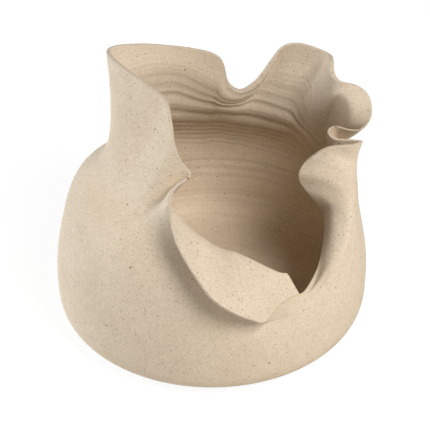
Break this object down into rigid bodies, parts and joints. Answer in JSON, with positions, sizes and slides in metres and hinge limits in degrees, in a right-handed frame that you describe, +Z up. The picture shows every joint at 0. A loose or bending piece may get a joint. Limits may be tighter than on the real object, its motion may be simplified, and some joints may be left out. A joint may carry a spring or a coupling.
{
  "type": "ceramic vase",
  "caption": "Round-bellied stoneware vase with a tall sculptural neck, cut low at the front, folded out into a pointed lapel and gathered into ruffled lobes; holds stems or stands empty.",
  "frame": {"origin": "centre of the flat underside of the foot, on the axis that the belly is thrown round", "axes": "+Z up along that axis; the front with the pointed lapel faces -Y; +X is the viewer's right, so the tall corner of the rim is at -X"},
  "size_m": [0.2313, 0.2442, 0.2088],
  "materials": {
    "speckled_stoneware": "matte, fine dark specks",
    "bare_clay": "matte, unglazed"
  },
  "bodies": {
    "root": {"turned_foot": "bare_clay", "floor_slab": "speckled_stoneware", "belly_wall": "speckled_stoneware", "folded_neck": "speckled_stoneware"}
  },
  "joints": []
}
